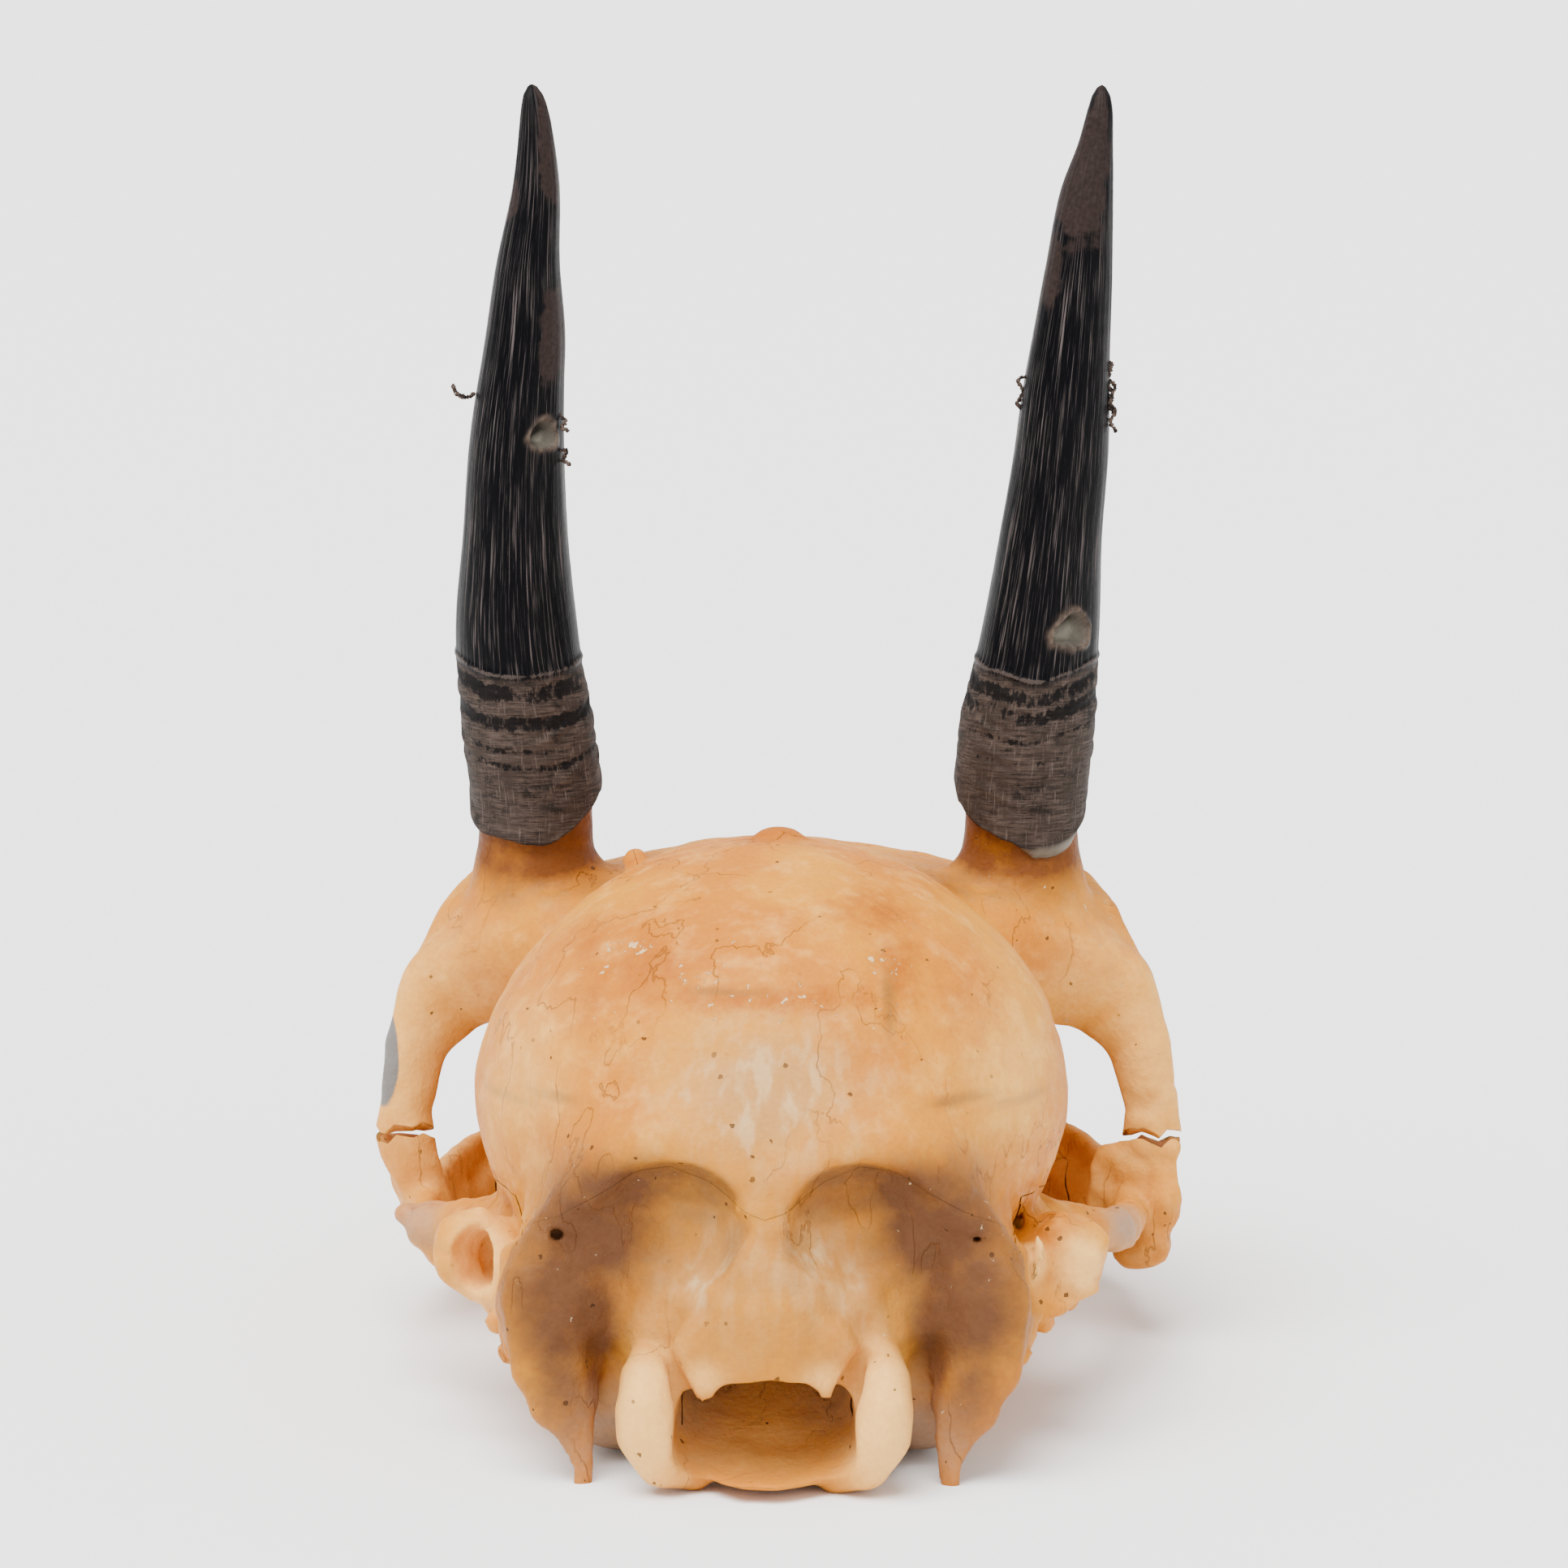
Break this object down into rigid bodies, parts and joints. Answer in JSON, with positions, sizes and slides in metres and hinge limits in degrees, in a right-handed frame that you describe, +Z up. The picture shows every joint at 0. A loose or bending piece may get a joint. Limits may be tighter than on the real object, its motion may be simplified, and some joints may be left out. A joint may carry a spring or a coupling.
{
  "type": "steenbok skull",
  "caption": "Bare animal skull without its lower jaw, with two short upright horns in dark sheaths over bone cores, large ringed eye sockets and a long narrow snout.",
  "frame": {"origin": "on the plane that the skull rests on, under the middle of its bounding box", "axes": "+Z up, +Y the way the snout points, +X the animal's right; the camera of the picture looks along +Y"},
  "size_m": [0.0746, 0.1362, 0.1148],
  "materials": {
    "bone": "dry aged bone, cream to orange, satin",
    "horn": "black keratin, grey and ringed near the base, slightly glossy above"
  },
  "bodies": {
    "root": {"occipital": "bone", "braincase": "bone", "ear_left": "bone", "ear_right": "bone", "frontal": "bone", "sphenoid": "bone", "palatine": "bone", "zygomatic_left": "bone", "zygomatic_right": "bone", "maxilla_left": "bone", "maxilla_right": "bone", "nasal_left": "bone", "nasal_right": "bone", "premaxilla_left": "bone", "premaxilla_right": "bone", "horn_sheath_left": "horn", "horn_sheath_right": "horn"}
  },
  "joints": []
}
